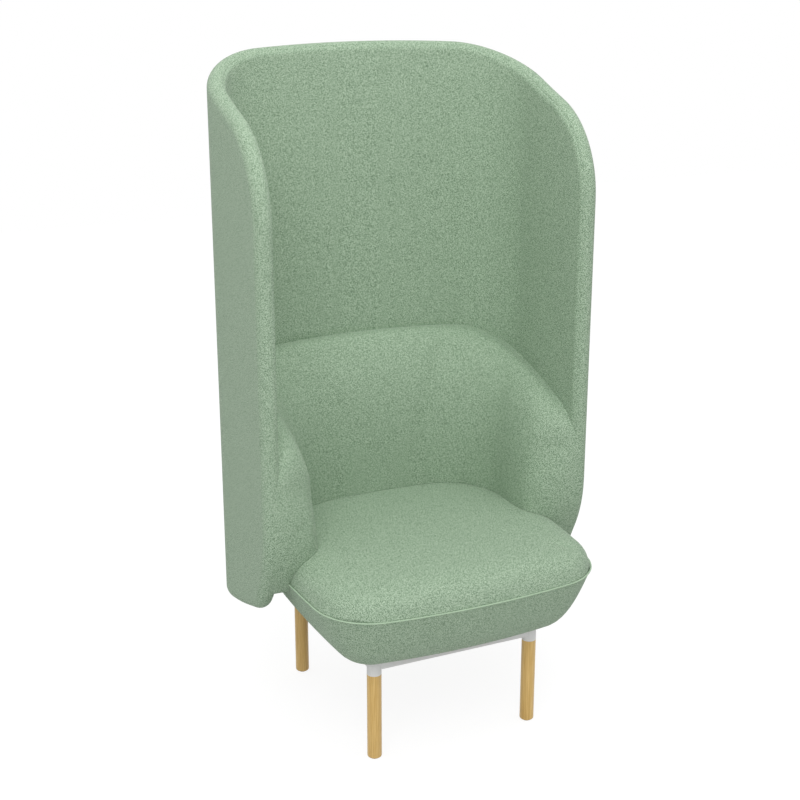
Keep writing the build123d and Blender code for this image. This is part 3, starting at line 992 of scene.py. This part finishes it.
def swept_cord(line, normals, height, radius, sides=10):
    """A round cord along a closed line."""
    rows = []
    for angle in np.linspace(0, 2 * math.pi, sides, endpoint=False):
        ring = line - normals * radius * math.cos(angle)
        rows.append(np.column_stack([ring, np.full(len(line), height + radius * math.sin(angle))]))
    points = np.array(rows).reshape(-1, 3)
    count = len(line)
    runs = np.concatenate([[0], np.cumsum(np.linalg.norm(np.diff(line, axis=0), axis=1))])
    girth = [at * radius * 2 * math.pi / sides for at in range(sides)]
    cloth = np.vstack([np.column_stack([runs, np.full(count, around)]) for around in girth])
    lines = [row % sides * count + np.arange(count) for row in range(sides + 1)]
    return points, cloth, stitched(lines)


cord_line = outline - outline_normals * (seam_stand - cord_radius)
points, cloth, faces = swept_cord(cord_line, outline_normals, seam_z, cord_radius)
cord = new_piece("seat_seam_cord", points, faces, cloth, painted_highlight_cord)
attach(cord, "root")
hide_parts("seat_piping")
print("seam cord:", len(faces), "faces")

# %% [markdown]
# ## The bolster
# One pad of foam runs round the back and both arms. It is another padded plate, with its back on
# the screen's wall. Its top rolls over quickly and then falls in one long soft slope to the seat,
# and the ends of the arms are rounded like a nose that lies flush with the panel's rim. It could
# be joined from a back and two arms, but the joints would show on a form that is sewn as one. So
# one rule shapes it: how far the pad stands off the wall depends on the distance to its border.
# The face has other corners than the wall behind it, so each point of the pattern moves from the
# wall's line towards the face's line as the pad gets deeper.

# %% Bolster lines, in mm behind the panel's front edge and above the underframe
wall_gap = 0.4 * MM
pad_front = 0.8 * MM
crease_corners = [(1, 150), (1, 433), (150, 491), (290, 530), (402, 583)]
crease_radii = [95, 300, 400]
pad_low_corners = [(1, 300), (1, 210), (52, 110), (480, 110)]
pad_low_radii = [240, 50]
arm_depth = 104 * MM
back_depth = 106 * MM
face_corner_radius = 140 * MM
face_bow_radius = 6000 * MM
slope_reach = 290 * MM
slope_fullness = 2.6
nose_reach = 98 * MM
nose_fullness = 2.3
low_reach = 32 * MM
low_fullness = 2.1
rim_gap = -0.3 * MM
roll_lift = 16 * MM
roll_width = 80 * MM

pad_counts = (38, 16, 18)
wall_line, _ = u_line(
    panel_high.x - panel_thickness - wall_gap,
    panel_high.y - panel_thickness - wall_gap,
    panel_bow_radius - panel_thickness - wall_gap,
    panel_corner_radius - panel_thickness - wall_gap,
    panel_low.y + pad_front,
    pad_counts,
)
wall_runs = run_lengths(wall_line)


def pad_chain(corners, radii):
    """An edge line of the bolster's pattern, from its side view."""
    line = rounded_line(np.array(corners) * MM, np.array(radii) * MM)
    rising = line[np.argmax(line[:, 0] > line[0, 0] + merge_distance) - 1 :]
    behind = wall_line[:, 1] - panel_low.y
    rise = np.interp(behind, rising[:, 0], rising[:, 1])
    return np.column_stack([wall_runs, frame_top + rise])


pad_low = pad_chain(pad_low_corners, pad_low_radii)
pad_top = pad_chain(crease_corners, crease_radii)
print("crease at front and back:", np.round(pad_top[[0, len(pad_top) // 2], 1] / MM), "mm")

# %% Bolster depth


def distance_to_line(points, line):
    """Distance of flat points from a line made of straight pieces."""
    start, step = line[:-1], np.diff(line, axis=0)
    from_start = points[:, None] - start[None]
    along = np.clip((from_start * step).sum(axis=2) / (step**2).sum(axis=1), 0, 1)
    return np.linalg.norm(from_start - along[..., None] * step, axis=2).min(axis=1)


def soft_rise(distance, reach, fullness):
    """Share of the full depth at this distance from an edge: steep at first, then ever flatter."""
    left = 1 - np.clip(distance / reach, 0, 1)
    return (1 - left**fullness) ** (1 / fullness)


def pad_share(pattern):
    """Share of the depth at points of the pattern: 0 on the wall and 1 on the bolster's face."""
    top_slope = soft_rise(distance_to_line(pattern, pad_top), slope_reach, slope_fullness)
    low_roll = soft_rise(distance_to_line(pattern, pad_low), low_reach, low_fullness)
    nose = soft_rise(wall_runs[-1] - np.abs(pattern[:, 0]), nose_reach, nose_fullness)
    return top_slope * low_roll * nose


def lifted(pattern):
    """Let the top roll swell up over the line where it meets the wall, most at half its depth."""
    near_top = 1 - np.clip(distance_to_line(pattern[:, :2], pad_top) / roll_width, 0, 1)
    share = pattern[:, 2]
    nose = np.clip((wall_runs[-1] - np.abs(pattern[:, 0])) / nose_reach, 0, 1)
    raised = pattern.copy()
    raised[:, 1] += roll_lift * 4 * share * (1 - share) * near_top * nose
    return raised


def rim_flare(y, height):
    """How far the panel's round rim draws back from the wall's plane at this place."""
    rim_front = np.interp(height - frame_top, low_line[::-1, 1], low_line[::-1, 0])
    radius = half_thickness + rim_gap
    ahead = np.clip(half_thickness - (y - panel_low.y - rim_front), 0, radius)
    return radius - np.sqrt(radius**2 - ahead**2) + (wall_gap - rim_gap) * ahead / radius


def place_on_wall(pattern, depth_less=0.0):
    """Place (run, rise, share of depth) between the wall and the bolster's face."""
    face_line, _ = u_line(
        panel_high.x - panel_thickness - arm_depth + depth_less,
        panel_high.y - panel_thickness - back_depth + depth_less,
        face_bow_radius,
        face_corner_radius,
        panel_low.y + pad_front,
        pad_counts,
    )
    wall = [np.interp(pattern[:, 0], wall_runs, wall_line[:, axis]) for axis in (0, 1)]
    face = [np.interp(pattern[:, 0], wall_runs, face_line[:, axis]) for axis in (0, 1)]
    wall[0] = wall[0] + np.sign(wall[0]) * rim_flare(wall[1], pattern[:, 1])
    share = pattern[:, 2]
    x = wall[0] * (1 - share) + face[0] * share
    y = wall[1] * (1 - share) + face[1] * share
    return np.column_stack([x, y, pattern[:, 1]])


# %% Bolster cover
rim_insets = np.array([0, 1.5, 3.5, 6, 9, 13, 18, 24, 30]) * MM
pad_rows = 30
swell = 6 * MM


def closed_bolster():
    """The whole pad: its face and roll, and its flat back against the wall."""
    front = plate_mesh(pad_low, pad_top, pad_rows, rim_insets, np.zeros(len(rim_insets)))
    front[0][:, 2] = pad_share(front[0][:, :2])
    back = plate_mesh(pad_low, pad_top, pad_rows, rim_insets[[0, -1]], np.zeros(2))
    return join_meshes(front, turned(back))


pattern, cloth, faces = closed_bolster()
depth_less = swell
pad_points = place_on_wall(lifted(pattern), depth_less)
bolster = weld(new_piece("bolster_cover", pad_points, faces, cloth, sage_wool, flip=True))
print("bolster:", len(faces), "faces")

# %% [markdown]
# The foam in the real bolster is cut a little too large for its cover, which makes it firm and
# round. Here the cover starts too small and the padding presses it out, held along the wall.

# %% Swell the bolster
held_within = 0.3 * MM

on_wall = place_on_wall(pattern * (1, 1, 0))
places = np.array([vertex.co for vertex in bolster.data.vertices])
from_wall = np.array([np.linalg.norm(on_wall - place, axis=1).min() for place in places])
held = from_wall < held_within
puff(bolster, np.flatnonzero(held), pressure=4.0, most=swell)

# %% [markdown]
# ## Where the seat meets the bolster
# On the real chair the seat is pushed in between the arms, and the foam gives way to it. A second
# simulation could press the one into the other, but it is slow, and the two would end up inside
# each other here and there. A boolean cut is exact: the finished seat, grown by a hair, is taken
# out of the bolster, so the pad ends in a clean line that follows the seat all round.

# %% Room for the seat
touch_gap = 0.6 * MM
crease_angle = math.radians(40)


def grown(piece, grow):
    """Points, cloth coordinates and faces of a piece, moved outwards by a little."""
    points = np.array([vertex.co + vertex.normal * grow for vertex in piece.data.vertices])
    return points, points[:, :2], [tuple(face.vertices) for face in piece.data.polygons]


def cut_away(piece, cutter):
    """Cut a form out of a piece."""
    cut = piece.modifiers.new("room_for_seat", "BOOLEAN")
    cut.operation = "DIFFERENCE"
    cut.solver = "EXACT"
    cut.use_self = True
    cut.object = cutter
    bpy.context.view_layer.update()
    graph = bpy.context.evaluated_depsgraph_get()
    result = bpy.data.meshes.new_from_object(piece.evaluated_get(graph))
    piece.modifiers.clear()
    piece.data = result
    bpy.data.objects.remove(cutter)


points, cloth, faces = join_meshes(*(grown(piece, touch_gap) for piece in (cushion, pan, cord)))
cutter = new_piece("seat_room", points, faces, cloth, sage_wool)
cut_away(bolster, cutter)
bolster.data.set_sharp_from_angle(angle=crease_angle)
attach(bolster, "root")
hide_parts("bolster")
print("bolster after the cut:", len(bolster.data.polygons), "faces")

# %% [markdown]
# ## Floor and light
# The picture is a plain cut-out on white. A backdrop lit until it turns white would bleach the
# chair too. So the floor and the surroundings show as white only to the camera and to gloss and
# glass, while they light the chair at a plain level. Two large soft lamps, in front on the left
# and overhead, give the covers their gentle fall-off. A part of the floor stays matt, which keeps
# a faint shadow round the feet.

# %% Floor
floor_half = 6.0
floor_glow = 1.25
glow_share = 0.70


def seen_directly(tree):
    """1 for rays from the camera and for mirrored or refracted ones, 0 for light on the chair."""
    view = add(tree, "ShaderNodeLightPath")
    seen = view.outputs["Is Camera Ray"]
    for kind in ("Is Glossy Ray", "Is Transmission Ray"):
        either = add(tree, "ShaderNodeMath", {0: seen, 1: view.outputs[kind]}, operation="MAXIMUM")
        seen = either.outputs[0]
    return seen


def studio_floor():
    """White to the camera, except where the chair shades it."""
    material, tree = new_material("studio_floor")
    matt = add(tree, "ShaderNodeBsdfDiffuse", {"Color": linear("D6D6D6")})
    glow = add(tree, "ShaderNodeEmission", {"Color": linear("FFFFFF"), "Strength": floor_glow})
    share = add(tree, "ShaderNodeMath", {
        0: seen_directly(tree), 1: glow_share,
    }, operation="MULTIPLY")
    mixed = add(tree, "ShaderNodeMixShader", {
        "Fac": share.outputs[0], 1: matt.outputs[0], 2: glow.outputs[0],
    })
    add(tree, "ShaderNodeOutputMaterial", {"Surface": mixed.outputs[0]})
    return material


floor_corners = np.array([(-1, -1, 0), (1, -1, 0), (1, 1, 0), (-1, 1, 0)]) * floor_half
floor = new_piece("floor", floor_corners, [(0, 1, 2, 3)], floor_corners[:, :2], studio_floor())
print("floor:", 2 * floor_half, "m wide")

# %% Light
surroundings = 0.68
key_place, key_width, key_power = (-1.5, -2.5, 3.2), 2.2, 48
overhead_place, overhead_width, overhead_power = (0.1, -0.6, 3.7), 2.0, 29
chair_middle = (0, 0, 0.8)


def white_studio():
    """Surroundings that light the chair softly and look white."""
    world = bpy.data.worlds.new("studio")
    world.use_nodes = True
    tree = world.node_tree
    tree.nodes.clear()
    soft_light, white_view = [
        add(tree, "ShaderNodeBackground", {"Color": linear("FFFFFF"), "Strength": strength})
        for strength in (surroundings, 1.0)
    ]
    sky = add(tree, "ShaderNodeMixShader", {
        "Fac": seen_directly(tree), 1: soft_light.outputs[0], 2: white_view.outputs[0],
    })
    add(tree, "ShaderNodeOutputWorld", {"Surface": sky.outputs[0]})
    return world


def soft_lamp(name, place, width, power):
    """A large square lamp that looks at the middle of the chair."""
    lamp = bpy.data.objects.new(name, bpy.data.lights.new(name, "AREA"))
    bpy.context.scene.collection.objects.link(lamp)
    lamp.location = place
    away_from_chair = Vector(place) - Vector(chair_middle)
    lamp.rotation_euler = away_from_chair.to_track_quat("Z", "Y").to_euler()
    lamp.data.size = width
    lamp.data.energy = power


bpy.context.scene.world = white_studio()
soft_lamp("key", key_place, key_width, key_power)
soft_lamp("overhead", overhead_place, overhead_width, overhead_power)
bpy.context.scene.view_settings.view_transform = "Standard"
